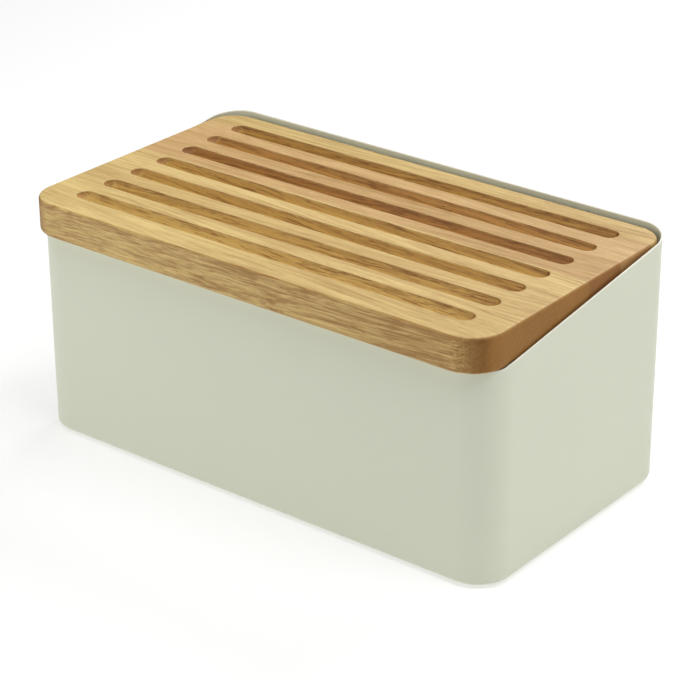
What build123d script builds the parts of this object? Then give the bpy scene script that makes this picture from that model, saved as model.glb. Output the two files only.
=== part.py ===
"""Bread box: a coated sheet steel bin with a sloping rim, and a loose oak board with crumb grooves for a lid.

Millimetres. X runs along the front, Y towards the back, Z up. The origin is on the table, under the middle of the
whole object, lid overhang included.
"""

import os
from math import sqrt

from build123d import *

# Steel bin
box_width = 340.0
box_depth = 184.0
front_height = 133.0
rear_height = 157.5
rim_level_run = 14.0
rim_step_run = 5.0
rim_step = 1.8
sheet = 1.0
corner_radius = 22.0
base_radius = 3.5
base_lip = 14.0
floor_gap = 0.3

# Rubber feet, stuck under the floor
foot_diameter = 18.0
foot_drop = 1.5
foot_inset = 40.0
foot_round = 0.5

# Angles on the rear wall that carry the back of the lid, and their pads
rest_width = 60.0
rest_inset = 80.0
rest_reach = 14.0
rest_leg = 20.0
rest_sheet = 1.5
rest_bend = 3.0
rest_corner = 4.0
pad_thickness = 2.0
pad_margin = 1.5
pad_round = 0.5

# Lid board
lid_thickness = 22.0
lid_overhang = 7.0
lid_side_gap = 0.5
lid_rear_gap = 2.5
lid_taper = 1.5
lid_top_round = 2.0
lid_bottom_round = 2.5
stave_shares = (0.205, 0.172, 0.172, 0.172, 0.172, 0.107)

# Crumb grooves, cut with a round-nosed cutter
groove_count = 7
cutter_radius = 6.5
groove_depth = 4.0
groove_front_margin = 24.6
groove_rear_margin = 21.3
groove_end_margin = 23.0
groove_edge_round = 0.4

# Battens under the lid, and their screws
batten_width = 16.0
batten_thickness = 12.0
batten_inset = 45.0
batten_front_gap = 1.5
batten_rear_gap = 6.0
batten_round = 2.0
screwed_staves = (0, 2, 4)
screw_radius = 2.0
screw_head_radius = 4.0
screw_bite = 10.0
screw_tip = 3.0
screw_sink = 0.3
screw_gap = 0.05
driver_slot = 1.0
driver_slot_depth = 1.2
driver_slot_reach = 2.2

# Cuts run past the faces that they open by this much
overrun = 5.0

# Places worked out from the sizes
overall_depth = box_depth + lid_overhang
lid_front = -overall_depth / 2
wall_front = lid_front + lid_overhang
wall_rear = overall_depth / 2
box_middle = (wall_front + wall_rear) / 2
steel_bottom = foot_drop
front_rim = steel_bottom + front_height
rear_rim = steel_bottom + rear_height
floor_bottom = steel_bottom + sheet

lid_bottom = front_rim
lid_top = lid_bottom + lid_thickness
lid_rear = wall_rear - sheet - lid_rear_gap
lid_depth = lid_rear - lid_front
lid_front_half = box_width / 2 - sheet - lid_side_gap
lid_rear_half = lid_front_half - lid_taper
lid_rear_radius = corner_radius - sheet - lid_rear_gap

stave_joints = [lid_front + lid_depth * sum(stave_shares[:i]) for i in range(len(stave_shares) + 1)]
stave_middles = [(near + far) / 2 for near, far in zip(stave_joints, stave_joints[1:])]

groove_half_width = sqrt(cutter_radius**2 - (cutter_radius - groove_depth) ** 2)
groove_straight = 2 * (lid_front_half - groove_end_margin - groove_half_width)
groove_pitch = (lid_depth - groove_front_margin - groove_rear_margin) / (groove_count - 1)
groove_middle = (lid_front + groove_front_margin + lid_rear - groove_rear_margin) / 2
groove_axis = lid_top + cutter_radius - groove_depth

rest_top = lid_bottom - pad_thickness
rest_wall = wall_rear - sheet
rest_front = rest_wall - rest_reach
batten_front = wall_front + sheet + batten_front_gap
batten_rear = rest_front - batten_rear_gap
batten_length = batten_rear - batten_front
batten_bottom = lid_bottom - batten_thickness

sides = {"left": -1, "right": 1}
ends = {"front": -1, "rear": 1}
batten_places = {side: sign * (box_width / 2 - batten_inset) for side, sign in sides.items()}
screw_spots = [(x, stave_middles[i]) for x in batten_places.values() for i in screwed_staves]

os.makedirs("parts", exist_ok=True)


def save(part, name):
    """Labels a finished piece and writes its file."""
    part.label = name
    export_step(part, f"parts/{name}.step")


# Steel wall, one sheet wrapped round the corners: hollow, with its lower edge turned in as a lip
with BuildPart() as wall_shell:
    with BuildSketch(Plane((0, box_middle, steel_bottom))):
        RectangleRounded(box_width, box_depth, corner_radius)
    extrude(amount=rear_height)
    fillet(wall_shell.faces().sort_by(Axis.Z)[0].edges(), radius=base_radius)
    offset(amount=-sheet, openings=wall_shell.faces().sort_by(Axis.Z)[-1])
    with BuildSketch(Plane((0, box_middle, steel_bottom))):
        RectangleRounded(box_width - 2 * base_lip, box_depth - 2 * base_lip, corner_radius - base_lip)
    extrude(amount=floor_bottom - steel_bottom, mode=Mode.SUBTRACT)
    # The rim is level along the front, where the lid lies on it, and round most of the front corners. It steps up
    # beside the lid and then climbs straight to the rear wall, which is level again
    with BuildSketch(Plane.YZ):
        with BuildLine():
            Polyline(
                (wall_front - overrun, front_rim),
                (wall_front + rim_level_run, front_rim),
                (wall_front + rim_level_run + rim_step_run, front_rim + rim_step),
                (wall_rear - sheet, rear_rim),
                (wall_rear - sheet, rear_rim + overrun),
                (wall_front - overrun, rear_rim + overrun),
                close=True,
            )
        make_face()
    extrude(amount=box_width / 2 + overrun, both=True, mode=Mode.SUBTRACT)
save(wall_shell.part, "wall_shell")

# Steel floor, laid on the lip and clear of its bend
floor_trim = base_radius + floor_gap
with BuildPart() as floor_pan:
    with BuildSketch(Plane((0, box_middle, floor_bottom))):
        RectangleRounded(box_width - 2 * floor_trim, box_depth - 2 * floor_trim, corner_radius - floor_trim)
    extrude(amount=sheet)
save(floor_pan.part, "floor_pan")

# Rubber feet, from the floor's underside to the table
for end, y_sign in ends.items():
    for side, x_sign in sides.items():
        foot_x = x_sign * (box_width / 2 - foot_inset)
        foot_y = box_middle + y_sign * (box_depth / 2 - foot_inset)
        with BuildPart() as foot:
            with BuildSketch(Plane((foot_x, foot_y, 0))):
                Circle(foot_diameter / 2)
            extrude(amount=floor_bottom)
            fillet(foot.edges().sort_by(Axis.Z)[0], radius=foot_round)
        save(foot.part, f"foot_{end}_{side}")

# Bent angles welded to the rear wall, and the pad on each
for side, x_sign in sides.items():
    rest_x = x_sign * (box_width / 2 - rest_inset)
    with BuildPart() as lid_rest:
        with BuildSketch(Plane.YZ.offset(rest_x)) as angle:
            with BuildLine():
                Polyline(
                    (rest_wall, rest_top),
                    (rest_front, rest_top),
                    (rest_front, rest_top - rest_sheet),
                    (rest_wall - rest_sheet, rest_top - rest_sheet),
                    (rest_wall - rest_sheet, rest_top - rest_leg),
                    (rest_wall, rest_top - rest_leg),
                    close=True,
                )
            make_face()
            # Across this sketch X points to the wall and Y up: first the inside of the bend, then its outside
            fillet(angle.vertices().group_by(Axis.X)[1].sort_by(Axis.Y)[-1], radius=rest_bend - rest_sheet)
            fillet(angle.vertices().group_by(Axis.X)[-1].sort_by(Axis.Y)[-1], radius=rest_bend)
        extrude(amount=rest_width / 2, both=True)
        fillet(lid_rest.edges().filter_by(Axis.Z).group_by(Axis.Y)[0], radius=rest_corner)
    save(lid_rest.part, f"lid_rest_{side}")

    pad_front = rest_front + pad_margin
    pad_rear = rest_wall - rest_bend
    with BuildPart() as rest_pad:
        with BuildSketch(Plane((rest_x, (pad_front + pad_rear) / 2, rest_top))):
            RectangleRounded(rest_width - 2 * pad_margin, pad_rear - pad_front, rest_corner - pad_margin)
        extrude(amount=pad_thickness)
        fillet(rest_pad.faces().sort_by(Axis.Z)[-1].edges(), radius=pad_round)
    save(rest_pad.part, f"rest_pad_{side}")

# The whole lid board before it is told apart into staves: narrower at the back, rounded all round, grooved on top
with BuildPart() as lid_board:
    with BuildSketch(Plane.XY.offset(lid_bottom)) as lid_plan:
        with BuildLine():
            Polyline(
                (-lid_front_half, lid_front),
                (lid_front_half, lid_front),
                (lid_rear_half, lid_rear),
                (-lid_rear_half, lid_rear),
                close=True,
            )
        make_face()
        fillet(lid_plan.vertices().group_by(Axis.Y)[0], radius=corner_radius)
        fillet(lid_plan.vertices().group_by(Axis.Y)[-1], radius=lid_rear_radius)
    extrude(amount=lid_thickness)
    fillet(lid_board.faces().sort_by(Axis.Z)[-1].edges(), radius=lid_top_round)
    fillet(lid_board.faces().sort_by(Axis.Z)[0].edges(), radius=lid_bottom_round)
    outer_edges = lid_board.edges()
    with Locations((0, groove_middle, groove_axis)):
        with GridLocations(0, groove_pitch, 1, groove_count):
            Cylinder(cutter_radius, groove_straight, rotation=(0, 90, 0), mode=Mode.SUBTRACT)
        with GridLocations(groove_straight, groove_pitch, 2, groove_count):
            Sphere(cutter_radius, mode=Mode.SUBTRACT)
    groove_rims = lid_board.edges().filter_by_position(Axis.Z, lid_top, lid_top) - outer_edges
    fillet(groove_rims, radius=groove_edge_round)
    with BuildSketch(Plane.XY.offset(lid_bottom)):
        with Locations(*screw_spots):
            Circle(screw_radius + screw_gap)
    extrude(amount=screw_bite, mode=Mode.SUBTRACT)

# Oak staves, cut from the board at the glue joints
for number, (near, far) in enumerate(zip(stave_joints, stave_joints[1:]), start=1):
    with BuildPart() as stave:
        add(lid_board.part)
        if number > 1:
            split(bisect_by=Plane.XZ.offset(-near), keep=Keep.BOTTOM)
        if number < len(stave_shares):
            split(bisect_by=Plane.XZ.offset(-far), keep=Keep.TOP)
    save(stave.part, f"stave_{number}")

# Battens, screwed to the lid's underside
for side, batten_x in batten_places.items():
    with BuildPart() as batten:
        with BuildSketch(Plane((batten_x, (batten_front + batten_rear) / 2, batten_bottom))):
            Rectangle(batten_width, batten_length)
        extrude(amount=batten_thickness)
        fillet(batten.faces().sort_by(Axis.Z)[0].edges(), radius=batten_round)
        with Locations(Plane((batten_x, 0, batten_bottom), x_dir=(1, 0, 0), z_dir=(0, 0, -1))):
            with Locations(*[(0, -stave_middles[i]) for i in screwed_staves]):
                CounterSinkHole(screw_radius + screw_gap, screw_head_radius + screw_sink + screw_gap)
    save(batten.part, f"batten_{side}")

# Countersunk screws, point up, with a cross slot in the head
with BuildPart() as batten_screws:
    with BuildSketch(Plane.XZ):
        with BuildLine():
            Polyline(
                (0, batten_bottom + screw_sink),
                (screw_head_radius, batten_bottom + screw_sink),
                (screw_radius, batten_bottom + screw_sink + screw_head_radius - screw_radius),
                (screw_radius, lid_bottom + screw_bite - screw_tip),
                (0, lid_bottom + screw_bite),
                close=True,
            )
        make_face()
    revolve(axis=Axis.Z)
    with BuildSketch(Plane.XY.offset(batten_bottom + screw_sink)):
        Rectangle(2 * driver_slot_reach, driver_slot)
        Rectangle(driver_slot, 2 * driver_slot_reach)
    extrude(amount=driver_slot_depth, mode=Mode.SUBTRACT)
    screw = batten_screws.part
with BuildPart() as screw_set:
    with Locations(*screw_spots):
        add(screw)
save(screw_set.part, "batten_screws")
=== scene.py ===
import math

import bpy
import numpy as np
from bpy.props import FloatProperty, FloatVectorProperty, IntProperty, PointerProperty
from mathutils import Matrix, Vector


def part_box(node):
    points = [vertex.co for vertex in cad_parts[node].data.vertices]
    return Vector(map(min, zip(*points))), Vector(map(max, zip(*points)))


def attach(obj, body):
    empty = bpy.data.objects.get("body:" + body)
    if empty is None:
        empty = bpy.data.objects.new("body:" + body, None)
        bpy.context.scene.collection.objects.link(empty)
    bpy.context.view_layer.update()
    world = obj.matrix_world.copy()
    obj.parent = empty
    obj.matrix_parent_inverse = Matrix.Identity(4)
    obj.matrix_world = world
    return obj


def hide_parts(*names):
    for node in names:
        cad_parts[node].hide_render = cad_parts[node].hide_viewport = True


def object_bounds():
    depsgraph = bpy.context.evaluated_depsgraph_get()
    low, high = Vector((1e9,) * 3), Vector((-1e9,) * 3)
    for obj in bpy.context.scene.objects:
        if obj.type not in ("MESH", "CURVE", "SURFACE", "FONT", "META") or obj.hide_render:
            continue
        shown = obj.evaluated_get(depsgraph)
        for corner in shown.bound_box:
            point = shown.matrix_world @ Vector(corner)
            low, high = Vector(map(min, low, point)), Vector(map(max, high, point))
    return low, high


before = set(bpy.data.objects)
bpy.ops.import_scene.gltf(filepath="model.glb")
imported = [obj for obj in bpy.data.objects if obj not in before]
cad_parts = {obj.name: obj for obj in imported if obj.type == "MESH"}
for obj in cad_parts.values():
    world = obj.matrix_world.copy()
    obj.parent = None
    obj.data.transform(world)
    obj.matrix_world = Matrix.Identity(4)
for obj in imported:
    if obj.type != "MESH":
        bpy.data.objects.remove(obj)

bl_info = {
    "name": "Bread Box",
    "version": (1, 0, 0),
    "blender": (4, 5, 0),
    "location": "View3D > Sidebar > Bread Box",
    "description": "Dresses a steel bread bin and its grooved oak lid, piece by piece",
    "category": "Add Mesh",
}

# Places read from the frame
CAD_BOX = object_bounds()
WALL_LOW, WALL_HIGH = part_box("wall_shell")
FLOOR_LOW, FLOOR_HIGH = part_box("floor_pan")
STAVES = sorted(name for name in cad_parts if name.startswith("stave_"))
STAVE_BOXES = [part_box(name) for name in STAVES]
LID_NEAR = STAVE_BOXES[0][0].y
LID_FAR = STAVE_BOXES[-1][1].y
LID_BOTTOM = STAVE_BOXES[0][0].z
LID_TOP = STAVE_BOXES[0][1].z
SIDES = ("left", "right")
FEET = [f"foot_{end}_{side}" for end in ("front", "rear") for side in SIDES]

MM = 0.001
WHITE = (1.0, 1.0, 1.0, 1.0)
# Stands in for a distance of nought in a division
TINY = 1e-12

# Steps that the surfaces are divided into: round a plan's corners, round an edge or a bend, back and across
CORNER_STEPS = {"wall": 28, "floor": 24, "rest": 12, "pad": 12, "batten": 4, "lid": 30}
EDGE_STEPS = {"wall": 8, "floor": 4, "rest": 8, "pad": 5, "batten": 8, "lid": 11}
ROW_STEPS = {"floor": 8, "rest": 4, "pad": 4, "lid": 39}
COLUMN_STEPS = {"floor": 8, "rest": 12, "pad": 6, "foot": 24, "lid": 24}
# Steps across the plain stretch beside a rounded edge
PLAIN_STEPS = 3
# Steps of a groove: its cove, the round of its lip, and the flat apron round it
COVE_STEPS, LIP_STEPS, APRON_STEPS = 10, 5, 3
# Steps of a batten's lower face from the middle of a screw to its shank, and from there up the countersink
SHANK_STEPS, CONE_STEPS = 2, 4
# Heights that are averaged where the rim's bends are eased
RIM_SAMPLES = 9
# Share of a board's half-width that its inner columns may take up in a corner
BOARD_ROOM = 0.97
# Share of the wall's height up to which the coat keeps its full thickness
RIM_FOOT = 0.998
# Share of a screw head's radius where its last ring of faces starts
HEAD_RIM = 0.98
# What a length is divided by for a small one beside it: half a slot's width for the slot's wall, the grooves'
# lip round for the first row at a glue joint, and a pad's upper round for its lower one
SLOT_WALL_PART, JOINT_PART, PAD_FOOT_PART = 12, 8, 4

# Lamps: their width and their place, in metres
LAMPS = {
    "back": (1.2, (0.0, 1.4, 1.2)),
    "front": (1.0, (-0.2, -0.6, 1.7)),
    "right": (1.0, (0.8, 0.0, 1.6)),
    "low_left": (0.9, (-1.1, -1.3, 0.4)),
    "low_right": (0.7, (1.5, 0.0, 0.42)),
}
# Width in millimetres of the film that the lens is given for
FILM_WIDTH = 36.0
# Points along each side of the stage's floor
FLOOR_POINTS = 3


def length(label, note, millimetres):
    """A size in the sidebar: written in millimetres, kept in metres."""
    return FloatProperty(name=label, description=note, default=millimetres * MM, min=0.0, precision=5,
                         unit="LENGTH")


def colour(label, note, red, green, blue):
    """A colour in the sidebar, as linear red, green and blue."""
    return FloatVectorProperty(name=label, description=note, default=(red, green, blue), min=0.0, max=1.0,
                               subtype="COLOR")


def number(label, note, value):
    """A plain number in the sidebar."""
    return FloatProperty(name=label, description=note, default=value, min=0.0)


class BinSizes(bpy.types.PropertyGroup):
    """Sizes of the steel bin that the frame's boxes don't give."""
    sheet: length("Sheet", "Thickness of the steel", 1.0)
    corner_radius: length("Corner Radius", "Outside radius of the upright corners", 22.0)
    base_radius: length("Base Radius", "Outside radius of the bend above the lip", 3.5)
    base_lip: length("Base Lip", "How far the lower edge is turned in", 14.0)
    rim_level_run: length("Level Rim", "How far back the rim stays level before it climbs", 14.0)
    rim_step_run: length("Rim Step Run", "Length of the short step beside the lid's front corner", 5.0)
    rim_step: length("Rim Step", "Height of that step", 1.8)
    rim_blend: length("Rim Blend", "Length over which each bend of the rim is eased", 3.0)
    floor_round: length("Floor Edge", "Round on the floor's edges", 0.3)


class LidSizes(bpy.types.PropertyGroup):
    """Sizes of the oak lid that the frame's boxes don't give."""
    front_half: length("Front Half Width", "Half of the lid's width at its front, before the corners", 168.5)
    taper: length("Taper", "How much narrower each side is at the back", 1.5)
    front_corner: length("Front Corner", "Radius of the front corners", 22.0)
    rear_corner: length("Rear Corner", "Radius of the rear corners", 18.5)
    top_round: length("Top Round", "Round-over along the upper edge", 2.0)
    bottom_round: length("Bottom Round", "Round-over along the lower edge", 2.5)
    groove_count: IntProperty(name="Grooves", description="Number of crumb grooves", default=7, min=1)
    cutter_radius: length("Cutter Radius", "Radius of the round-nosed cutter", 6.5)
    groove_depth: length("Groove Depth", "Depth at the middle of a groove", 4.0)
    front_margin: length("Front Margin", "From the lid's front to the middle of the first groove", 24.6)
    rear_margin: length("Rear Margin", "From the lid's back to the middle of the last groove", 21.3)
    end_margin: length("End Margin", "From the lid's side line to the end of a groove", 23.0)
    lip_round: length("Lip Round", "Round on a groove's lip", 0.4)
    lip_apron: length("Lip Apron", "Flat band round a groove where the grid eases back to square", 1.1)


class FittingSizes(bpy.types.PropertyGroup):
    """Sizes of the feet, rests, pads, battens and screws."""
    foot_round: length("Foot Round", "Round on a foot's lower edge", 0.5)
    rest_sheet: length("Rest Sheet", "Thickness of the angles that carry the lid", 1.5)
    rest_bend: length("Rest Bend", "Outside radius of an angle's bend", 3.0)
    rest_corner: length("Rest Corner", "Radius of an angle's front corners", 4.0)
    pad_corner: length("Pad Corner", "Radius of a pad's corners", 2.5)
    pad_round: length("Pad Round", "Round on a pad's upper edges", 0.5)
    batten_round: length("Batten Round", "Round on a batten's lower edges", 2.0)
    batten_arris: length("Batten Arris", "Round on a batten's upright edges", 0.5)
    screw_radius: length("Screw Radius", "Radius of a screw's shank", 2.0)
    head_radius: length("Head Radius", "Radius of a screw's head", 4.0)
    head_gap: length("Head Gap", "Room round a screw's head in its countersink", 0.35)
    screw_tip: length("Screw Tip", "Length of a screw's point", 3.0)
    slot_width: length("Slot Width", "Width of the cross slot in a screw's head", 1.0)
    slot_reach: length("Slot Reach", "Half of the cross slot's length", 2.2)
    slot_depth: length("Slot Depth", "Depth of the cross slot at its middle", 1.2)


class Finishes(bpy.types.PropertyGroup):
    """Colours of the finishes."""
    coat: colour("Coat", "Powder coat of the steel", 0.665, 0.69, 0.55)
    # A painted highlight: the coat drawn paler along the rim, where its edge catches the light
    rim_highlight: colour("Coat Edge", "Powder coat where it runs thin over the rim", 0.80, 0.79, 0.69)
    oak_pale: colour("Pale Oak", "Oak between the year rings", 0.745, 0.564, 0.233)
    oak_dark: colour("Dark Oak", "Oak in the year rings and pores", 0.324, 0.170, 0.041)
    oak_rosy: colour("Rosy Oak", "Oak of the redder staves", 0.697, 0.437, 0.212)
    groove_tone: colour("Groove Tone", "What is left of the oak's colour in the grooves", 0.50, 0.32, 0.094)
    front_tone: colour("Front Tone", "What is left of it on the lid's front edge", 1.0, 0.965, 0.83)
    end_tone: colour("End Tone", "What is left of it on the end grain", 0.478, 0.312, 0.138)
    rubber: colour("Rubber", "The feet", 0.030, 0.030, 0.032)
    silicone: colour("Silicone", "The pads under the lid", 0.52, 0.53, 0.50)
    zinc: colour("Zinc", "The screws", 0.62, 0.63, 0.64)


class StageSettings(bpy.types.PropertyGroup):
    """Floor, light and camera."""
    floor_tone: colour("Floor", "The pale floor", 0.50, 0.50, 0.498)
    floor_glow: number("Floor Glow", "Light that the lit table under the object gives by itself", 0.53)
    floor_span: FloatProperty(name="Floor Span", description="Width of the floor", default=30.0,
                              unit="LENGTH")
    sky: number("Sky", "Strength of the even white light from all round", 0.06)
    back_power: number("Back Lamp", "Watts of the lamp behind the object", 19.5)
    front_power: number("Front Lamp", "Watts of the high lamp in front", 9.8)
    right_power: number("Right Lamp", "Watts of the high lamp on the right", 15.5)
    low_left_power: number("Low Left Lamp", "Watts of the low lamp at the front left", 8.6)
    low_right_power: number("Low Right Lamp", "Watts of the low lamp on the right", 2.5)
    target: FloatVectorProperty(name="Target", description="Point that the camera looks at",
                                default=(0.00264, 0.00296, 0.06743), subtype="XYZ", unit="LENGTH")
    distance: FloatProperty(name="Distance", description="From the camera to its target", default=1.48776,
                            unit="LENGTH")
    azimuth: FloatProperty(name="Azimuth", description="Turn of the camera about the object",
                           default=math.radians(38.380), unit="ROTATION")
    elevation: FloatProperty(name="Elevation", description="Height of the camera, as an angle",
                             default=math.radians(25.739), unit="ROTATION")
    roll: FloatProperty(name="Roll", description="Tilt of the picture", default=math.radians(-0.212),
                        unit="ROTATION")
    lens: FloatProperty(name="Lens", description="Focal length in millimetres", default=126.847)


# Meshes

def grid_quads(index):
    """The four corners of every cell of a grid of vertex numbers, counterclockwise seen from above."""
    corners = [index[:-1, :-1], index[:-1, 1:], index[1:, 1:], index[1:, :-1]]
    return np.stack(corners, axis=-1).reshape(-1, 4)


def closed_shell(upper, lower, flat_near=False, flat_far=False):
    """Joins two grids of one size, with rows to the back and columns to the right, into one closed shell.

    The lower grid's cells face down. A strip of quads joins the two along each border. Returns the vertices,
    the faces and a flag for each face that says whether it is shaded smooth.
    """
    rows, columns = upper.shape[:2]
    top = np.arange(rows * columns).reshape(rows, columns)
    under = top + rows * columns

    def strip(high, low):
        """Quads between two rows of vertices."""
        return np.stack([high[:-1], low[:-1], low[1:], high[1:]], axis=-1)

    near = strip(top[0], under[0])
    far = strip(top[-1, ::-1], under[-1, ::-1])
    left = strip(top[::-1, 0], under[::-1, 0])
    right = strip(top[:, -1], under[:, -1])
    parts = [grid_quads(top), grid_quads(under)[:, ::-1], left, right, near, far]
    smooth = [True, True, True, True, not flat_near, not flat_far]
    flags = np.repeat(smooth, [len(part) for part in parts])
    points = np.concatenate([upper.reshape(-1, 3), lower.reshape(-1, 3)])
    return points, np.concatenate(parts), flags


def closed_band(points):
    """Joins a grid that closes on itself both ways: round the object, and round its own section."""
    rows, columns = points.shape[:2]
    index = np.arange(rows * columns).reshape(rows, columns)
    index = np.concatenate([index, index[:1]])
    index = np.concatenate([index, index[:, :1]], axis=1)
    faces = grid_quads(index.T)
    return points.reshape(-1, 3), faces, np.ones(len(faces), bool)


def joined(shells):
    """Puts several shells into one set of vertices, faces and flags."""
    starts = np.cumsum([0] + [len(points) for points, _, _ in shells[:-1]])
    return (
        np.concatenate([points for points, _, _ in shells]),
        np.concatenate([faces + start for (_, faces, _), start in zip(shells, starts)]),
        np.concatenate([flags for _, _, flags in shells]),
    )


def add_piece(name, shell, material, body, nodes, slot, **attributes):
    """Makes the object, gives it its finish, hangs it on its body's empty, and hides the frame's parts that it
    stands in for.
    """
    points, faces, flags = shell
    mesh = bpy.data.meshes.new(name)
    mesh.from_pydata(points.tolist(), [], faces.tolist())
    mesh.polygons.foreach_set("use_smooth", flags)
    for label, values in attributes.items():
        mesh.attributes.new(label, "FLOAT", "POINT").data.foreach_set("value", values.astype(np.float32))
    if mesh.validate():
        raise RuntimeError(f"{name} has faces that can't be drawn")
    mesh.materials.append(material)
    piece = bpy.data.objects.new(name, mesh)
    bpy.context.scene.collection.objects.link(piece)
    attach(piece, body)
    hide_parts(*nodes)


def stacked(x, y, z):
    """Three arrays that broadcast together, as one array of points."""
    return np.stack(np.broadcast_arrays(x, y, z), axis=-1)


# Shapes

def arc_rise(steps):
    """How far a quarter of a unit circle has come in from its edge, in equal turns: 1 - cos(angle)."""
    return 1.0 - np.cos(np.linspace(0.0, math.pi / 2, steps + 1))


def round_drop(inset, radius):
    """How far a quarter-round edge lies below its face: r - sqrt(r^2 - (r - t)^2) at t from the outline."""
    gap = np.clip(radius - inset, 0.0, radius)
    return radius - np.sqrt(radius**2 - gap**2)


class Board:
    """A flat board's plan: the same to both sides, which may lean in, with four round corners.

    Each corner's arc touches an end line and a side line. With slope s of the side, its centre stands
    radius * sqrt(1 + s^2) inside the side line, measured along X, and one radius from the end line.
    """

    def __init__(self, near, far, near_half, far_half, near_corner, far_corner):
        self.near, self.far, self.near_half = near, far, near_half
        self.near_corner, self.far_corner = near_corner, far_corner
        self.slope = (far_half - near_half) / (far - near)
        self.stretch = math.hypot(1.0, self.slope)
        self.corners = ((self.corner_centre(near + near_corner, near_corner), near_corner, -1),
                        (self.corner_centre(far - far_corner, far_corner), far_corner, 1))

    def side(self, y):
        """Half-width of the straight side lines at y."""
        return self.near_half + self.slope * (y - self.near)

    def corner_centre(self, y, radius):
        """Middle of the arc whose centre line across the board is at y."""
        return np.array([self.side(y) - radius * self.stretch, y])

    def half_width(self, y):
        """Half-width of the outline: the side line, or the corner's arc beyond the point where they touch."""
        half = self.side(y)
        lean = -self.slope / self.stretch
        for (x, middle), radius, end in self.corners:
            arc = x + np.sqrt(np.clip(radius**2 - (y - middle) ** 2, 0.0, None))
            half = np.where(end * (y - middle - radius * lean) > 0, arc, half)
        return half

    def inset(self, x, y):
        """Distance of a point from the outline: to the nearest line, or to the arc in a corner's sector."""
        x = np.abs(x)
        depth = np.minimum(np.minimum(y - self.near, self.far - y), (self.side(y) - x) / self.stretch)
        for (middle_x, middle_y), radius, end in self.corners:
            out, along = x - middle_x, y - middle_y
            in_sector = (out > 0) & (end * (along + self.slope * out) > 0)
            depth = np.where(in_sector, radius - np.hypot(out, along), depth)
        return depth

    def corner_rows(self, steps):
        """Places along Y that follow both corners' arcs in equal turns."""
        rise = arc_rise(steps)
        return np.concatenate([self.near + self.near_corner * rise, self.far - self.far_corner * rise])

    def rows(self, kind):
        """Places along Y: even steps, and equal turns of both corners' arcs."""
        even = np.linspace(self.near, self.far, ROW_STEPS[kind] + 1)
        return np.unique(np.concatenate([self.corner_rows(CORNER_STEPS[kind]), even]))

    def grid(self, rows, columns, shares):
        """Points of the plan. Inner columns keep their X, drawn in only where a corner leaves them no room.

        Outer columns share out what is left up to the outline.
        """
        half = self.half_width(rows)[:, None]
        limit = columns.max()
        reach = np.minimum(limit, BOARD_ROOM * half)
        inner = columns[None, :] * reach / limit
        outer = reach + shares[None, :] * (half - reach)
        x = np.concatenate([-outer[:, ::-1], inner, outer], axis=1)
        return x, np.broadcast_to(rows[:, None], x.shape)


def edge_shares(radius, room, steps):
    """Shares of the way to the outline that put equal turns of a quarter-round into the last stretch."""
    turns = radius * arc_rise(steps)
    plain = np.linspace(room, radius, PLAIN_STEPS + 1)[1:-1]
    return 1.0 - np.concatenate([plain, turns[::-1]]) / room


def thick_board(board, rows, columns, shares, bottom, top, top_round, bottom_round):
    """A board of even thickness: two grids over one plan, each drawn in along its edges by a quarter-round."""
    x, y = board.grid(rows, columns, shares)
    inset = board.inset(x, y)
    upper = stacked(x, y, top - round_drop(inset, top_round))
    lower = stacked(x, y, bottom + round_drop(inset, bottom_round))
    return upper, lower


def disc_ease(x, y, inner, outer):
    """Turns squares round a middle into circles: a point is scaled by max(|x|, |y|) / hypot(x, y).

    The scaling is whole inside the inner size and fades away towards the outer one.
    """
    square = np.maximum(np.abs(x), np.abs(y))
    circle = np.maximum(np.hypot(x, y), TINY)
    amount = np.clip((outer - square) / (outer - inner), 0.0, 1.0)
    return 1.0 + amount * (square / circle - 1.0)


def rounded_loop(half_x, half_y, radius, steps):
    """Once round a rounded rectangle, counterclockwise: the arcs' centres, and the outward directions."""
    turn = np.linspace(0.0, math.pi / 2, steps + 1)
    angles = np.concatenate([turn + quarter * math.pi / 2 for quarter in range(4)])
    centres = np.repeat([(1, 1), (-1, 1), (-1, -1), (1, -1)], steps + 1, axis=0)
    centres = centres * (half_x - radius, half_y - radius)
    return centres, np.stack([np.cos(angles), np.sin(angles)], axis=-1)


# Bin

def rim_height(y, sizes):
    """Height of the rim by Y: level, a short step, a straight climb to the rear wall, and level again.

    The bends are eased: each height is the mean of the broken line's heights over a short length about it.
    """
    kink = WALL_LOW.y + sizes.rim_level_run
    places = [kink, kink + sizes.rim_step_run, WALL_HIGH.y - sizes.sheet]
    heights = [LID_BOTTOM, LID_BOTTOM + sizes.rim_step, WALL_HIGH.z]
    about = np.linspace(-0.5, 0.5, RIM_SAMPLES) * sizes.rim_blend
    return np.interp(y[..., None] + about, places, heights).mean(axis=-1)


def wall_section(sizes, steps):
    """The wall's closed section: inward distance, share of the height between base and rim, and offset.

    It runs under the lip, round the outer bend, up the outside, over the half-round rim, down the inside, round
    the inner bend and back over the lip, whose edge is half-round too.
    """
    sheet, bend, lip = sizes.sheet, sizes.base_radius, sizes.base_lip
    edge = sheet / 2
    quarter = np.linspace(0.0, math.pi / 2, steps + 1)
    half = np.linspace(0.0, math.pi, steps + 1)
    climb = np.append(np.linspace(0.0, 1.0, 2 * steps)[1:-1], RIM_FOOT)
    flat = np.linspace(1.0, 0.0, PLAIN_STEPS + 1)[1:-1]
    inner = bend - sheet
    under = bend + (lip - edge - bend) * flat
    side = bend * (1 - climb) - edge * climb
    distance = np.concatenate([
        under, bend * (1 - np.sin(quarter)), 0 * climb, edge - edge * np.cos(half),
        sheet + 0 * climb, bend - inner * np.sin(quarter[::-1]), under[::-1], lip - edge + edge * np.sin(half)])
    level = np.concatenate([
        0 * flat, 0 * quarter, climb, 1 + 0 * half, climb[::-1], 0 * quarter, 0 * flat, 0 * half])
    offset = np.concatenate([
        0 * flat, bend * (1 - np.cos(quarter)), side, edge * np.sin(half) - edge,
        side[::-1], bend - inner * np.cos(quarter[::-1]), sheet + 0 * flat, edge + edge * np.cos(half)])
    return distance, level, offset


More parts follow.
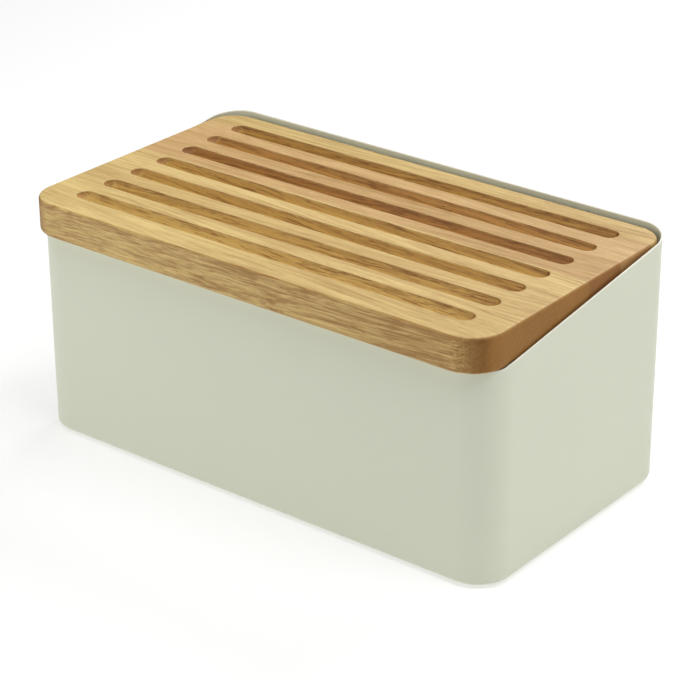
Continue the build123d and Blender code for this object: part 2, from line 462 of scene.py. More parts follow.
def bin_wall(sizes):
    """The wall's section carried round the bin: a point is centre + (radius - distance) * direction.

    Returns the shell and, for each vertex, whether it lies on the rim.
    """
    centres, outward = rounded_loop((WALL_HIGH.x - WALL_LOW.x) / 2, (WALL_HIGH.y - WALL_LOW.y) / 2,
                                    sizes.corner_radius, CORNER_STEPS["wall"])
    distance, level, offset = wall_section(sizes, EDGE_STEPS["wall"])
    plan = centres[:, None, :] + (sizes.corner_radius - distance)[None, :, None] * outward[:, None, :]
    middle = (WALL_LOW + WALL_HIGH) / 2
    x = plan[..., 0] + middle.x
    y = plan[..., 1] + middle.y
    z = WALL_LOW.z * (1 - level) + rim_height(y, sizes) * level + offset
    rim = np.broadcast_to(level == 1.0, x.shape).astype(float).ravel()
    return closed_band(stacked(x, y, z)), rim


def bin_floor(sizes):
    """The floor: a thin board with round corners, set in from the wall."""
    trim = WALL_HIGH.x - FLOOR_HIGH.x
    corner = sizes.corner_radius - trim
    board = Board(FLOOR_LOW.y, FLOOR_HIGH.y, FLOOR_HIGH.x, FLOOR_HIGH.x, corner, corner)
    columns = np.linspace(-1.0, 1.0, COLUMN_STEPS["floor"] + 1) * (FLOOR_HIGH.x - corner)
    shares = edge_shares(sizes.floor_round, corner, EDGE_STEPS["floor"])
    upper, lower = thick_board(board, board.rows("floor"), columns, shares, FLOOR_LOW.z, FLOOR_HIGH.z,
                               sizes.floor_round, sizes.floor_round)
    return closed_shell(upper, lower)


# Fittings

def rubber_foot(low, high, sizes):
    """A foot: a square grid eased into a disc, with a round lower edge."""
    radius = (high.x - low.x) / 2
    level = np.sin(np.linspace(-math.pi / 2, math.pi / 2, COLUMN_STEPS["foot"] + 1)) * radius
    x, y = np.meshgrid(level, level)
    ease = disc_ease(x, y, radius, 2 * radius)
    inset = radius - np.maximum(np.abs(x), np.abs(y))
    middle = (low + high) / 2
    eased_x, eased_y = middle.x + x * ease, middle.y + y * ease
    lower = low.z + round_drop(inset, sizes.foot_round)
    return closed_shell(stacked(eased_x, eased_y, high.z), stacked(eased_x, eased_y, lower))


def rest_angle(low, high, sizes):
    """A bent angle: two profiles of equal steps, one over the top and down the back, one below it, both carried
    along X. Near the front the width follows two corner arcs.
    """
    sheet, bend = sizes.rest_sheet, sizes.rest_bend
    corner = sizes.rest_corner
    turn = np.linspace(0.0, math.pi / 2, EDGE_STEPS["rest"] + 1)
    front = low.y + corner * arc_rise(CORNER_STEPS["rest"])
    flange = np.concatenate([front, [(front[-1] + high.y - bend) / 2]])
    leg = np.linspace(high.z - bend, low.z, ROW_STEPS["rest"] + 1)[1:]

    def profile(inner):
        """The section at one depth inside the angle: flange, quarter-round and leg."""
        radius = bend - inner
        y = np.concatenate([flange, high.y - bend + radius * np.sin(turn), high.y - inner + 0 * leg])
        z = np.concatenate([high.z - inner + 0 * flange, high.z - bend + radius * np.cos(turn), leg])
        return y, z

    half = (high.x - low.x) / 2
    drawn = np.concatenate([round_drop(flange - low.y, corner), 0 * turn, 0 * leg])
    spread = np.linspace(-1.0, 1.0, COLUMN_STEPS["rest"] + 1)
    across = spread[None, :] * (half - drawn)[:, None] + (low.x + high.x) / 2
    grids = [stacked(across, y[:, None], z[:, None]) for y, z in (profile(0.0), profile(sheet))]
    return closed_shell(*grids, flat_near=True, flat_far=True)


def silicone_pad(low, high, sizes):
    """A pad: a small board with round corners and a soft upper edge, sharper below."""
    half = (high.x - low.x) / 2
    board = Board(low.y, high.y, half, half, sizes.pad_corner, sizes.pad_corner)
    columns = np.linspace(-1.0, 1.0, COLUMN_STEPS["pad"] + 1) * (half - sizes.pad_corner)
    shares = edge_shares(sizes.pad_round, sizes.pad_corner, EDGE_STEPS["pad"])
    upper, lower = thick_board(board, board.rows("pad"), columns, shares, low.z, high.z, sizes.pad_round,
                               sizes.pad_round / PAD_FOOT_PART)
    middle = (low.x + high.x) / 2
    return closed_shell(upper + (middle, 0, 0), lower + (middle, 0, 0))


def oak_batten(low, high, screws, sizes):
    """A batten: a board with round lower edges. Round each screw the grid is eased into circles, and the face
    rises in a cone as far as the shank.
    """
    half = (high.x - low.x) / 2
    sink = sizes.head_radius + sizes.head_gap
    flat = half - sizes.batten_round
    ring = np.concatenate([np.linspace(0.0, sizes.screw_radius, SHANK_STEPS + 1),
                           np.linspace(sizes.screw_radius, sink, CONE_STEPS + 1)[1:],
                           [sink + (flat - sink) / PLAIN_STEPS, flat]])
    ring = np.unique(np.concatenate([-ring, ring]))
    board = Board(low.y, high.y, half, half, sizes.batten_arris, sizes.batten_arris)
    turns = sizes.batten_round * arc_rise(EDGE_STEPS["batten"])
    rings = [spot.y + ring for spot in screws]
    rows = [board.corner_rows(CORNER_STEPS["batten"]), low.y + turns, high.y - turns, *rings]
    shares = edge_shares(sizes.batten_round, sizes.batten_round, EDGE_STEPS["batten"])
    x, y = board.grid(np.unique(np.concatenate(rows)), ring, shares)
    inset = board.inset(x, y)
    rise = round_drop(inset, sizes.batten_round)
    eased_x, eased_y = x.copy(), y.copy()
    for spot in screws:
        out = y - spot.y
        ease = disc_ease(x, out, sink, flat)
        near = np.maximum(np.abs(x), np.abs(out)) < flat
        eased_x = np.where(near, x * ease, eased_x)
        eased_y = np.where(near, spot.y + out * ease, eased_y)
        cone = sink - np.clip(np.maximum(np.abs(x), np.abs(out)), sizes.screw_radius, sink)
        rise = np.maximum(rise, cone)
    middle = (low.x + high.x) / 2
    upper = stacked(middle + x, y, high.z)
    lower = stacked(middle + eased_x, eased_y, low.z + rise)
    return closed_shell(upper, lower)


def countersunk_screw(spot, head, tip, sizes):
    """A screw, point up. Both of its sides are heights over one disc: the head's flat face with its cross slot,
    and the cone, shank and point above it.
    """
    radius, shank = sizes.head_radius, sizes.screw_radius
    slot, reach = sizes.slot_width / 2, sizes.slot_reach
    wall = slot / SLOT_WALL_PART
    level = np.array([0.0, slot, slot + wall, (slot + reach) / 2, reach, reach + wall, shank - wall, shank,
                      (shank + radius) / 2, radius * HEAD_RIM, radius])
    level = np.unique(np.concatenate([-level, level]))
    x, y = np.meshgrid(level, level)
    out = np.maximum(np.abs(x), np.abs(y))
    across = np.minimum(np.abs(x), np.abs(y))
    slots = np.where((across <= slot) & (out <= reach), sizes.slot_depth * (1 - out / (2 * reach)), 0.0)
    ease = disc_ease(x, y, radius, 2 * radius)
    ease = np.where(out > reach + wall, ease, 1.0)
    cone = head + radius - out
    point = tip - sizes.screw_tip * out / shank
    above = np.where(out < shank - wall / 2, point, cone)
    eased_x, eased_y = spot.x + x * ease, spot.y + y * ease
    return closed_shell(stacked(eased_x, eased_y, above), stacked(eased_x, eased_y, head + slots))


# Lid

class Grooves:
    """The crumb grooves: round-nosed cuts of one depth along X, each ending in a quarter of a ball.

    At distance d from a groove's middle line the cove lies sqrt(R^2 - d^2) - (R - depth) below the face. A
    small round joins it to the face: its circle touches both, so that its middle stands at
    sqrt((R + r)^2 - (R - depth + r)^2) from the line.
    """

    def __init__(self, sizes):
        self.cutter, self.depth, self.lip = sizes.cutter_radius, sizes.groove_depth, sizes.lip_round
        self.above = self.cutter - self.depth
        self.mouth = math.sqrt(self.cutter**2 - self.above**2)
        self.edge = math.sqrt((self.cutter + self.lip) ** 2 - (self.above + self.lip) ** 2)
        self.touch = self.edge * self.cutter / (self.cutter + self.lip)
        self.apron = self.edge + sizes.lip_apron
        self.straight = sizes.front_half - sizes.end_margin - self.mouth
        self.lines = np.linspace(LID_NEAR + sizes.front_margin, LID_FAR - sizes.rear_margin,
                                 sizes.groove_count)

    def steps(self):
        """Distances from a middle line: equal turns of the cove and of the lip, and even steps to the apron."""
        cove_turn = math.asin(self.touch / self.cutter)
        lip_turn = math.asin((self.edge - self.touch) / self.lip)
        cove = self.cutter * np.sin(np.linspace(0.0, cove_turn, COVE_STEPS + 1))
        lip = self.edge - self.lip * np.sin(np.linspace(lip_turn, 0.0, LIP_STEPS + 1))
        return np.concatenate([cove, lip[1:], np.linspace(self.edge, self.apron, APRON_STEPS + 1)[1:]])

    def rows(self):
        """Places along Y: the steps to both sides of every groove."""
        steps = self.steps()
        both = np.unique(np.concatenate([-steps, steps]))
        return (self.lines[:, None] + both[None, :]).ravel()

    def columns(self):
        """Places along X: even between the ends, and the steps beyond the ends' middles."""
        ends = self.straight + self.steps()
        even = np.linspace(-self.straight, self.straight, COLUMN_STEPS["lid"] + 1)
        return np.unique(np.concatenate([-ends, even, ends]))

    def eased(self, x, y):
        """The grid with the squares round each groove's end turned into half circles."""
        beyond = np.sign(x) * np.clip(np.abs(x) - self.straight, 0.0, None)
        aside = y - self.lines[np.abs(y[..., None] - self.lines).argmin(axis=-1)]
        ease = np.where(beyond == 0, 1.0, disc_ease(beyond, aside, self.edge, self.apron))
        return x + beyond * (ease - 1), y + aside * (ease - 1)

    def cut(self, x, y):
        """Depth of the cut at each point."""
        beyond = np.clip(np.abs(x) - self.straight, 0.0, None)
        aside = np.abs(y[..., None] - self.lines).min(axis=-1)
        distance = np.hypot(beyond, aside)
        cove = np.sqrt(np.clip(self.cutter**2 - distance**2, 0.0, None)) - self.above
        turned = np.clip(self.edge - distance, 0.0, self.lip)
        lip = self.lip - np.sqrt(self.lip**2 - turned**2)
        return np.where(distance < self.touch, cove, lip)


def oak_stave(near, far, sizes):
    """A stave: the rows of the whole lid between two glue joints. Its upper face is lowered by the round-over
    and by the grooves. Returns the shell and the share of the grooves' depth at each vertex.
    """
    board = Board(LID_NEAR, LID_FAR, sizes.front_half, sizes.front_half - sizes.taper, sizes.front_corner,
                  sizes.rear_corner)
    grooves = Grooves(sizes)
    rows = np.concatenate([board.rows("lid"), grooves.rows()])
    joint_room = sizes.lip_round / JOINT_PART
    inside = rows[(rows > near + 2 * joint_room) & (rows < far - 2 * joint_room)]
    rows = np.concatenate([[near, near + joint_room], np.unique(inside), [far - joint_room, far]])
    room = board.side(far) - grooves.straight - grooves.apron
    shares = edge_shares(sizes.bottom_round, room, EDGE_STEPS["lid"])
    x, y = board.grid(rows, grooves.columns(), shares)
    inset = board.inset(x, y)
    top_x, top_y = grooves.eased(x, y)
    cut = grooves.cut(top_x, top_y)
    upper = stacked(top_x, top_y, LID_TOP - round_drop(inset, sizes.top_round) - cut)
    lower = stacked(x, y, LID_BOTTOM + round_drop(inset, sizes.bottom_round))
    shell = closed_shell(upper, lower, flat_near=near > LID_NEAR, flat_far=far < LID_FAR)
    depth = np.concatenate([(cut / grooves.depth).ravel(), np.zeros(cut.size)])
    return shell, depth


# Finishes

class Wire:
    """One output socket of a material. Sums, products and quotients with wires or numbers add Math nodes."""

    def __init__(self, finish, socket):
        self.finish = finish
        self.socket = socket

    def math(self, operation, *values):
        """A Math node on wires and numbers."""
        return self.finish.node("ShaderNodeMath", {"operation": operation}, dict(enumerate(values)))

    def __add__(self, other):
        return self.math("ADD", self, other)

    def __radd__(self, other):
        return self.math("ADD", other, self)

    def __sub__(self, other):
        return self.math("SUBTRACT", self, other)

    def __rsub__(self, other):
        return self.math("SUBTRACT", other, self)

    def __mul__(self, other):
        return self.math("MULTIPLY", self, other)

    def __rmul__(self, other):
        return self.math("MULTIPLY", other, self)

    def __truediv__(self, other):
        return self.math("DIVIDE", self, other)

    def __rtruediv__(self, other):
        return self.math("DIVIDE", other, self)


class Finish:
    """A material under construction: one Principled shader and the nodes that feed it."""

    def __init__(self, name, **constants):
        self.material = bpy.data.materials.new(name)
        self.material.use_nodes = True
        self.tree = self.material.node_tree
        self.shader = self.tree.nodes["Principled BSDF"]
        for label, value in constants.items():
            self.shader.inputs[label.replace("_", " ").title()].default_value = value
        self.place = self.node("ShaderNodeTexCoord", output="Object")

    def node(self, kind, settings=None, inputs=None, output=0):
        """Adds a node: its settings first, then the values or links of its sockets. Returns one output."""
        made = self.tree.nodes.new(kind)
        for label, value in (settings or {}).items():
            setattr(made, label, value)
        for label, value in (inputs or {}).items():
            if isinstance(value, Wire):
                self.tree.links.new(value.socket, made.inputs[label])
            else:
                made.inputs[label].default_value = value
        return Wire(self, made.outputs[output])

    def feed(self, label, wire):
        """Links a wire to one of the shader's own sockets."""
        self.tree.links.new(wire.socket, self.shader.inputs[label])

    def mapped(self, scale, location, rotation):
        """Object coordinates, scaled, turned and moved."""
        return self.node("ShaderNodeMapping", None, {"Vector": self.place, "Location": location,
                                                     "Rotation": rotation, "Scale": scale})

    def noise(self, vector, scale=1.0, detail=2.0, roughness=0.5, output=0):
        """Soft noise from 0 to 1."""
        return self.node("ShaderNodeTexNoise", None, {"Vector": vector, "Scale": scale, "Detail": detail,
                                                      "Roughness": roughness}, output)

    def step(self, value, low, high):
        """A smooth step from 0 to 1 between two values."""
        return self.node("ShaderNodeMapRange", {"interpolation_type": "SMOOTHSTEP"},
                         {"Value": value, "From Min": low, "From Max": high})

    def blend(self, factor, first, second, kind="MIX"):
        """A mix of two colours."""
        settings = {"data_type": "RGBA", "blend_type": kind, "clamp_factor": True}
        return self.node("ShaderNodeMix", settings, {0: factor, 6: first, 7: second}, output=2)

    def mottled(self, factor, rgb, dark, light):
        """A colour that varies between a darker and a lighter tone of itself."""
        return self.blend(factor, scaled(rgb, dark), scaled(rgb, light))

    def axis(self, vector, axis):
        """One of the three parts of a vector."""
        return self.node("ShaderNodeSeparateXYZ", None, {0: vector}, axis)

    def vector(self, operation, *vectors, output=0):
        """Vector maths on vectors."""
        return self.node("ShaderNodeVectorMath", {"operation": operation}, dict(enumerate(vectors)), output)

    def bump(self, height, depth, strength=1.0):
        """Feeds the shader's normal with a relief, whose depth in metres goes with a height of 1."""
        self.feed("Normal", self.node("ShaderNodeBump", None, {"Height": height, "Distance": depth,
                                                               "Strength": strength}))


def solid(rgb):
    """A colour with full alpha, as the sockets take it."""
    return (*rgb, 1.0)


def scaled(rgb, factor):
    """A lighter or darker tone of a colour."""
    return tuple(min(1.0, part * factor) for part in rgb) + (1.0,)


def coated_steel(colours):
    """Satin powder coat: one even colour with a faint cloud in it, with a painted highlight along the rim, and
    the fine peel of a baked coat.
    """
    finish = Finish("powder_coat")
    cloud = finish.noise(finish.place, scale=14.0, detail=3.0)
    rim = finish.node("ShaderNodeAttribute", {"attribute_name": "rim"}, None, "Fac")
    coat = finish.mottled(cloud, colours.coat, dark=0.985, light=1.015)
    # The rim takes the paler colour: a painted highlight along its edge
    finish.feed("Base Color", finish.blend(rim, coat, solid(colours.rim_highlight)))
    peel = finish.noise(finish.place, scale=900.0)
    grit = finish.noise(finish.place, scale=3200.0, detail=1.0)
    finish.feed("Roughness", 0.44 + 0.12 * peel)
    finish.bump(0.75 * peel + 0.25 * grit, depth=0.03 * MM)
    return finish.material


# The oak's figure: cycles of noise per millimetre along and across the fibres, and its detail
FIGURE = {
    "wander": (0.006, 0.05, 2.0),
    "clear": (0.009, 0.06, 2.0),
    "cloud": (0.008, 0.05, 2.0),
    "flame": (0.02, 0.16, 2.0),
    "streak": (0.016, 0.5, 3.0),
    "hair": (0.03, 1.3, 3.0),
    "fleck": (0.07, 0.9, 2.0),
    "pore": (0.16, 3.0, 2.0),
}
# Bow of the fibres: cycles per millimetre along and across them, and how far they wander in millimetres
BOW, BOW_REACH = (0.005, 0.02, 0.02), (0.0, 12.0, 12.0)
# Weights of the figure in the tone, and the tone that it goes up and down from
WEIGHTS = {"rings": 0.26, "cloud": 0.7, "flame": 0.4, "streak": 0.9, "hair": 0.6, "fleck": 0.2, "pores": 0.3}
MIDDLE_TONE = 0.38
# Bands near the lid's front, each from where it starts to where it is full: the arris below the lid's top, the
# painted highlight on the top behind its front edge, and its right end, from the middle
ARRIS = (5.5 * MM, 2.5 * MM)
PAINTED_HIGHLIGHT = (9.5 * MM, 3.5 * MM)
RIGHT_END = (85.0 * MM, 140.0 * MM)
# What is added to the tone: on the front edge, for each metre to the right on it, in the bands, the painted
# highlight among them, and in grooves
ADDED = {"front": 0.33, "rightward": -0.8, "right_end": 0.2, "arris": 0.16, "painted_highlight": -0.10, "groove": -0.06}


def oak(name, colours, pith, rings, lean, rosy, reach, ends, deep=0.0, drift=0.0, burn=1.0, end_axis=0):
    """Oiled oak, solid through and through. Year rings run round a pith line along X, moved and leaned so that
    each stave is cut another way from its log. Each ring darkens slowly and ends sharply, with dark pores where
    the next one starts. Clouds and flames, and finer streaks, hairs and flecks, lie along the fibres.

    The tone, from 0 for pale to 1 for dark, is a middle tone plus the weighted sum of these. The grooves and
    the sawn front edge show more of the fine figure and less of the broad one. The front edge is darker along
    its arris and at its right end, and a painted highlight makes the top paler behind its front edge. The open
    ends show little figure.
    Grooves, front edge and ends each keep only part of the oak's colour.
    """
    finish = Finish(name)
    log = finish.mapped((1 / MM, 1 / MM, 1 / MM), (reach, *pith), (0.0, lean[1], lean[0]))
    bow = finish.noise(finish.vector("MULTIPLY", log, BOW), output="Color")
    fibre = finish.vector("MULTIPLY_ADD", bow, BOW_REACH, log)

    def figure(kind):
        """Noise stretched along the fibres."""
        along_fibres, across_fibres, detail = FIGURE[kind]
        stretched = finish.vector("MULTIPLY", fibre, (along_fibres, across_fibres, across_fibres))
        return finish.noise(stretched, detail=detail, roughness=0.55)

    def layer(kind):
        """A figure's part of the tone, about nil on the whole."""
        return WEIGHTS[kind] * (figure(kind) - 0.5)

    from_pith = finish.vector("MULTIPLY", fibre, (0.0, 1.0, 1.0))
    radius = finish.vector("LENGTH", from_pith, output="Value")
    phase = radius / rings + 2.4 * figure("wander")
    ring = phase.math("FRACT", phase)
    late = finish.step(ring, 0.10, 0.85) - finish.step(ring, 0.86, 1.0)
    early = 1 - finish.step(ring, 0.12, 0.45)
    clear = 0.15 + 0.85 * finish.step(figure("clear"), 0.42, 0.62)
    hair = figure("hair")
    fleck = finish.step(figure("fleck"), 0.50, 0.66)
    pores = finish.step(figure("pore"), 0.57, 0.68) * (0.3 + 0.7 * early)

    facing = finish.node("ShaderNodeTexCoord", None, None, "Normal")
    along, behind, height = (finish.axis(finish.place, axis) for axis in range(3))
    across = finish.axis(facing, end_axis)
    groove = finish.node("ShaderNodeAttribute", {"attribute_name": "groove"}, None, "Fac")
    cut = finish.step(groove, 0.0, 0.25)
    sawn = finish.step(0 - finish.axis(facing, 1), 0.35, 0.65) * (1 - cut)
    open_ends = finish.step(across.math("ABSOLUTE", across), 0.12, 0.85) * (1 - 0.4 * cut)
    arris = finish.step(height, LID_TOP - ARRIS[0], LID_TOP - ARRIS[1])
    # Painted highlight: the top is drawn paler in a band behind its front edge, where the round-over catches
    # the light
    painted_highlight = finish.step(0 - behind, -LID_NEAR - PAINTED_HIGHLIGHT[0], -LID_NEAR - PAINTED_HIGHLIGHT[1]) * (1 - sawn)
    right_end = finish.step(along, *RIGHT_END)

    broad = WEIGHTS["rings"] * late * clear + layer("cloud") + layer("flame")
    fine = layer("streak") + WEIGHTS["fleck"] * (fleck - 0.28) + WEIGHTS["pores"] * pores
    fine = fine + (WEIGHTS["hair"] + 0.4 * sawn) * (hair - 0.5)
    grain = broad * (1 - 0.5 * cut - 0.4 * sawn) + fine * (1 + 1.9 * cut + 0.7 * sawn)
    tone = MIDDLE_TONE + deep + drift * along * (1 - open_ends) + grain * (1 - 0.75 * open_ends)
    front = ADDED["front"] + ADDED["rightward"] * along
    front = front + ADDED["right_end"] * right_end + ADDED["arris"] * arris
    tone = tone + sawn * front + ADDED["painted_highlight"] * painted_highlight + ADDED["groove"] * cut

    def toned(amount, colour, part):
        """A colour that keeps only a part of itself where the amount is 1."""
        return finish.blend(amount, colour, finish.blend(1.0, colour, solid(part), "MULTIPLY"))

    warm = [pale + rosy * (red - pale) for pale, red in zip(colours.oak_pale, colours.oak_rosy)]
    wood = finish.blend(tone.math("MAXIMUM", 0.87 * tone, 0.0), solid(warm), solid(colours.oak_dark))
    wood = toned(sawn, wood, colours.front_tone)
    wood = toned(cut, wood, [part**burn for part in colours.groove_tone])
    wood = toned(ends * open_ends, wood, colours.end_tone)
    finish.feed("Base Color", wood)
    finish.feed("Roughness", 0.50 + 0.14 * pores + 0.08 * late + 0.28 * open_ends)
    finish.bump(0.35 * (1 - pores) + 0.3 * hair - 0.15 * late, depth=0.1 * MM, strength=0.6)
    return finish.material


def black_rubber(colours):
    """Matt rubber with a fine mould grain."""
    finish = Finish("foot_rubber_finish")
    grain = finish.noise(finish.place, scale=2500.0)
    finish.feed("Base Color", finish.mottled(grain, colours.rubber, dark=0.8, light=1.3))
    finish.feed("Roughness", 0.74 + 0.14 * grain)
    finish.bump(grain, depth=0.03 * MM)
    return finish.material


def soft_silicone(colours):
    """Grey-white silicone: smooth, a little cloudy and softly shining."""
    finish = Finish("silicone_finish", subsurface_weight=0.15)
    cloud = finish.noise(finish.place, scale=120.0, detail=3.0)
    finish.feed("Base Color", finish.mottled(cloud, colours.silicone, dark=0.95, light=1.05))
    finish.feed("Roughness", 0.40 + 0.12 * cloud)
    finish.bump(finish.noise(finish.place, scale=1800.0, detail=1.0), depth=0.01 * MM)
    return finish.material


def zinc_plate(colours):
    """Bright zinc on steel, with faint turning marks and dull patches."""
    finish = Finish("zinc_finish", metallic=1.0)
    dull = finish.noise(finish.place, scale=400.0, detail=3.0)
    finish.feed("Base Color", finish.mottled(dull, colours.zinc, dark=0.9, light=1.08))
    finish.feed("Roughness", 0.26 + 0.2 * dull)
    finish.bump(finish.noise(finish.place, scale=3000.0, detail=1.0), depth=0.01 * MM)
    return finish.material


# How each stave is cut from its log: the pith's place across the log and the rings' width, in millimetres, the
# lean of its grain, and its place along the log. Then its looks: how rosy it is, how much deeper in tone, how
# much its tone drifts with each metre to the right, how brown its grooves are, and how dark its ends
STAVE_CUTS = (
    {"pith": (150.0, -210.0), "rings": 4.6, "lean": (0.050, 0.030), "reach": 400.0,
     "rosy": 0.05, "deep": -0.03, "drift": 1.2, "burn": 0.40, "ends": 1.0},
    {"pith": (15.0, -75.0), "rings": 4.0, "lean": (-0.060, 0.010), "reach": 900.0,
     "rosy": 0.15, "deep": 0.03, "drift": 0.5, "burn": 0.50, "ends": 1.0},
    {"pith": (-90.0, -120.0), "rings": 3.6, "lean": (0.045, -0.015), "reach": 1800.0,
     "rosy": 0.15, "deep": -0.06, "drift": 0.8, "burn": 0.64, "ends": 1.0},
    {"pith": (60.0, -230.0), "rings": 4.2, "lean": (-0.050, 0.012), "reach": 2700.0,
     "rosy": 0.75, "deep": 0.13, "drift": 1.1, "burn": 1.0, "ends": 1.0},
    {"pith": (-40.0, -90.0), "rings": 4.4, "lean": (0.040, 0.008), "reach": 3600.0,
     "rosy": 0.70, "deep": 0.07, "drift": 0.5, "burn": 0.74, "ends": 0.75},
    {"pith": (-160.0, -190.0), "rings": 3.8, "lean": (-0.030, 0.010), "reach": 4500.0,
     "rosy": 0.0, "deep": 0.16, "drift": 0.0, "burn": 0.83, "ends": 0.45},
)
# The battens' grain runs to the back, so their ends face along Y
BATTEN_CUT = {"pith": (30.0, -60.0), "rings": 3.0, "lean": (math.pi / 2, 0.0), "reach": 5400.0,
              "rosy": 0.30, "ends": 1.0, "end_axis": 1}


def shared(name, make, colours):
    """A finish that several pieces share, made the first time it is asked for."""
    return bpy.data.materials.get(name) or make(colours)


# Operators

class BREADBOX_OT_bin_wall(bpy.types.Operator):
    """Makes the coated steel wall with its lip and rim."""
    bl_idname = "breadbox.bin_wall"
    bl_label = "Bin Wall"

    def execute(self, context):
        scene = context.scene
        coat = shared("powder_coat", coated_steel, scene.breadbox_finishes)
        shell, rim = bin_wall(scene.breadbox_bin)
        add_piece("bin_wall", shell, coat, "box", ["wall_shell"], "coated_steel", rim=rim)
        return {"FINISHED"}


class BREADBOX_OT_bin_floor(bpy.types.Operator):
    """Makes the coated steel floor."""
    bl_idname = "breadbox.bin_floor"
    bl_label = "Bin Floor"

    def execute(self, context):
        scene = context.scene
        coat = shared("powder_coat", coated_steel, scene.breadbox_finishes)
        add_piece("bin_floor", bin_floor(scene.breadbox_bin), coat, "box", ["floor_pan"], "coated_steel")
        return {"FINISHED"}


class BREADBOX_OT_feet(bpy.types.Operator):
    """Makes the rubber feet."""
    bl_idname = "breadbox.feet"
    bl_label = "Feet"

    def execute(self, context):
        scene = context.scene
        rubber = shared("foot_rubber_finish", black_rubber, scene.breadbox_finishes)
        for node in FEET:
            shell = rubber_foot(*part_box(node), scene.breadbox_fittings)
            add_piece(f"rubber_{node}", shell, rubber, "box", [node], "foot_rubber")
        return {"FINISHED"}


class BREADBOX_OT_lid_rests(bpy.types.Operator):
    """Makes the bent angles that carry the back of the lid, and the pads on them."""
    bl_idname = "breadbox.lid_rests"
    bl_label = "Lid Rests"

    def execute(self, context):
        scene = context.scene
        sizes = scene.breadbox_fittings
        coat = shared("powder_coat", coated_steel, scene.breadbox_finishes)
        silicone = shared("silicone_finish", soft_silicone, scene.breadbox_finishes)
        for side in SIDES:
            angle = rest_angle(*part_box(f"lid_rest_{side}"), sizes)
            add_piece(f"rest_angle_{side}", angle, coat, "box", [f"lid_rest_{side}"], "coated_steel")
            pad = silicone_pad(*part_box(f"rest_pad_{side}"), sizes)
            add_piece(f"silicone_pad_{side}", pad, silicone, "box", [f"rest_pad_{side}"], "pad_silicone")
        return {"FINISHED"}


class BREADBOX_OT_staves(bpy.types.Operator):
    """Makes the oak staves of the lid, each with its own cut of oak."""
    bl_idname = "breadbox.staves"
    bl_label = "Lid Staves"

    def execute(self, context):
        scene = context.scene
        for node, (low, high), cut in zip(STAVES, STAVE_BOXES, STAVE_CUTS):
            shell, depth = oak_stave(low.y, high.y, scene.breadbox_lid)
            wood = oak(f"oak_{node}", scene.breadbox_finishes, **cut)
            add_piece(f"oak_{node}", shell, wood, "lid", [node], "oak", groove=depth)
        return {"FINISHED"}


class BREADBOX_OT_battens(bpy.types.Operator):
    """Makes the battens under the lid, and the screws that hold them."""
    bl_idname = "breadbox.battens"
    bl_label = "Battens and Screws"

    def execute(self, context):
        scene = context.scene
        sizes = scene.breadbox_fittings
        low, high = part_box("batten_screws")
        wood = oak("oak_battens", scene.breadbox_finishes, **BATTEN_CUT)
        rows = [(near.y + far.y) / 2 for near, far in STAVE_BOXES[::2]]
        screws = []
        for side in SIDES:
            batten_low, batten_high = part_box(f"batten_{side}")
            spots = [Vector(((batten_low.x + batten_high.x) / 2, y, 0.0)) for y in rows]
            shell = oak_batten(batten_low, batten_high, spots, sizes)
            add_piece(f"oak_batten_{side}", shell, wood, "lid", [f"batten_{side}"], "batten_oak")
            screws += [countersunk_screw(spot, low.z, high.z, sizes) for spot in spots]
        zinc = shared("zinc_finish", zinc_plate, scene.breadbox_finishes)
        add_piece("countersunk_screws", joined(screws), zinc, "lid", ["batten_screws"], "screw_steel")
        return {"FINISHED"}


class BREADBOX_OT_stage(bpy.types.Operator):
    """Makes the pale floor, the soft light and the camera."""
    bl_idname = "breadbox.stage"
    bl_label = "Stage"

    def execute(self, context):
        settings = context.scene.breadbox_stage
        add_floor(settings)
        add_light(context.scene, settings)
        add_camera(context.scene, settings)
        return {"FINISHED"}


def add_floor(settings):
    """A square of pale, matt floor under the object, with a soft light of its own like a lit studio table."""
    half = settings.floor_span / 2
    level = np.linspace(-half, half, FLOOR_POINTS)
    x, y = np.meshgrid(level, level)
    faces = grid_quads(np.arange(x.size).reshape(x.shape))
    mesh = bpy.data.meshes.new("floor")
    mesh.from_pydata(stacked(x, y, 0.0).reshape(-1, 3).tolist(), [], faces.tolist())
    finish = Finish("floor_paper", roughness=0.9, emission_strength=settings.floor_glow)
    cloud = finish.noise(finish.place, scale=3.0)
    finish.feed("Base Color", finish.mottled(cloud, settings.floor_tone, dark=0.995, light=1.0))
    mesh.materials.append(finish.material)
    floor = bpy.data.objects.new("floor", mesh)
    bpy.context.scene.collection.objects.link(floor)


def add_lamp(scene, name, power, size, place):
    """A square area lamp that faces the middle of the object and stays out of the picture."""
    data = bpy.data.lights.new(name, "AREA")
    data.energy = power
    data.size = size
    lamp = bpy.data.objects.new(name, data)
    lamp.location = place
    middle = (CAD_BOX[0] + CAD_BOX[1]) / 2
    lamp.rotation_euler = (middle - lamp.location).to_track_quat("-Z", "Y").to_euler()
    lamp.visible_camera = False
    scene.collection.objects.link(lamp)


def add_light(scene, settings):
    """An even white sky and large soft lamps."""
    world = bpy.data.worlds.new("white_room")
    world.use_nodes = True
    background = world.node_tree.nodes["Background"]
    background.inputs["Color"].default_value = WHITE
    background.inputs["Strength"].default_value = settings.sky
    scene.world = world
    for name, (size, place) in LAMPS.items():
        add_lamp(scene, f"{name}_lamp", getattr(settings, f"{name}_power"), size, place)
    scene.view_settings.view_transform = "Standard"


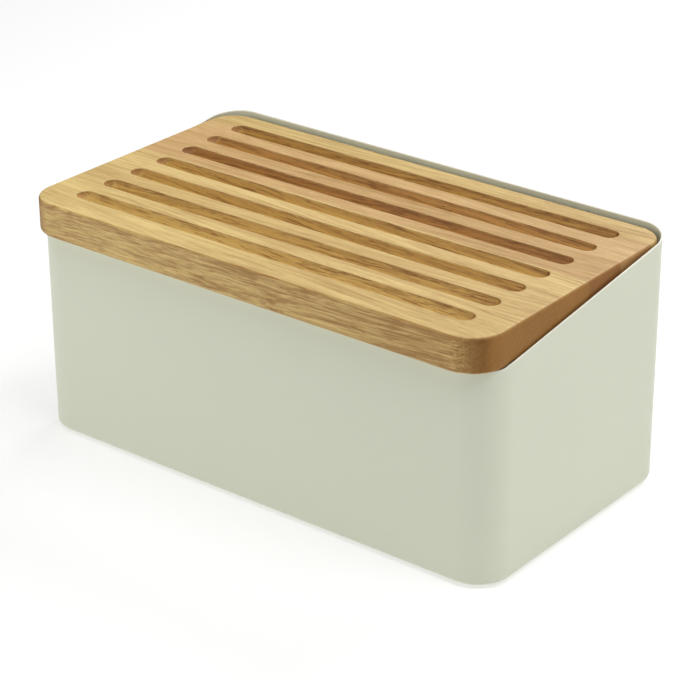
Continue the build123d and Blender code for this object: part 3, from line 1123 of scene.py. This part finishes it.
def add_camera(scene, settings):
    """The camera: turned by the azimuth about the upright axis, tipped by the elevation, rolled, set back."""
    turn = Matrix.Rotation(settings.azimuth, 4, "Z")
    turn = turn @ Matrix.Rotation(math.pi / 2 - settings.elevation, 4, "X")
    turn = turn @ Matrix.Rotation(settings.roll, 4, "Z")
    set_back = Matrix.Translation((0.0, 0.0, settings.distance))
    data = bpy.data.cameras.new("camera")
    data.lens = settings.lens
    data.sensor_width = FILM_WIDTH
    camera = bpy.data.objects.new("camera", data)
    camera.matrix_world = Matrix.Translation(Vector(settings.target)) @ turn @ set_back
    scene.collection.objects.link(camera)
    scene.camera = camera


class BREADBOX_PT_pieces(bpy.types.Panel):
    """Lists the pieces of the bread box."""
    bl_idname = "BREADBOX_PT_pieces"
    bl_label = "Bread Box"
    bl_space_type = "VIEW_3D"
    bl_region_type = "UI"
    bl_category = "Bread Box"

    def draw(self, context):
        for operator in OPERATORS:
            self.layout.operator(operator.bl_idname)


SETTINGS = {
    "breadbox_bin": BinSizes,
    "breadbox_lid": LidSizes,
    "breadbox_fittings": FittingSizes,
    "breadbox_finishes": Finishes,
    "breadbox_stage": StageSettings,
}
OPERATORS = (
    BREADBOX_OT_stage,
    BREADBOX_OT_bin_wall,
    BREADBOX_OT_bin_floor,
    BREADBOX_OT_feet,
    BREADBOX_OT_lid_rests,
    BREADBOX_OT_staves,
    BREADBOX_OT_battens,
)
CLASSES = (*SETTINGS.values(), *OPERATORS, BREADBOX_PT_pieces)


def register():
    """Adds the settings, the operators and the panel to Blender."""
    for item in CLASSES:
        bpy.utils.register_class(item)
    for label, group in SETTINGS.items():
        setattr(bpy.types.Scene, label, PointerProperty(type=group))


def unregister():
    """Takes them out again."""
    for label in SETTINGS:
        delattr(bpy.types.Scene, label)
    for item in reversed(CLASSES):
        bpy.utils.unregister_class(item)


def main():
    """Makes the stage and every piece."""
    register()
    bpy.ops.breadbox.stage()
    bpy.ops.breadbox.bin_wall()
    bpy.ops.breadbox.bin_floor()
    bpy.ops.breadbox.feet()
    bpy.ops.breadbox.lid_rests()
    bpy.ops.breadbox.staves()
    bpy.ops.breadbox.battens()


if __name__ == "__main__":
    main()
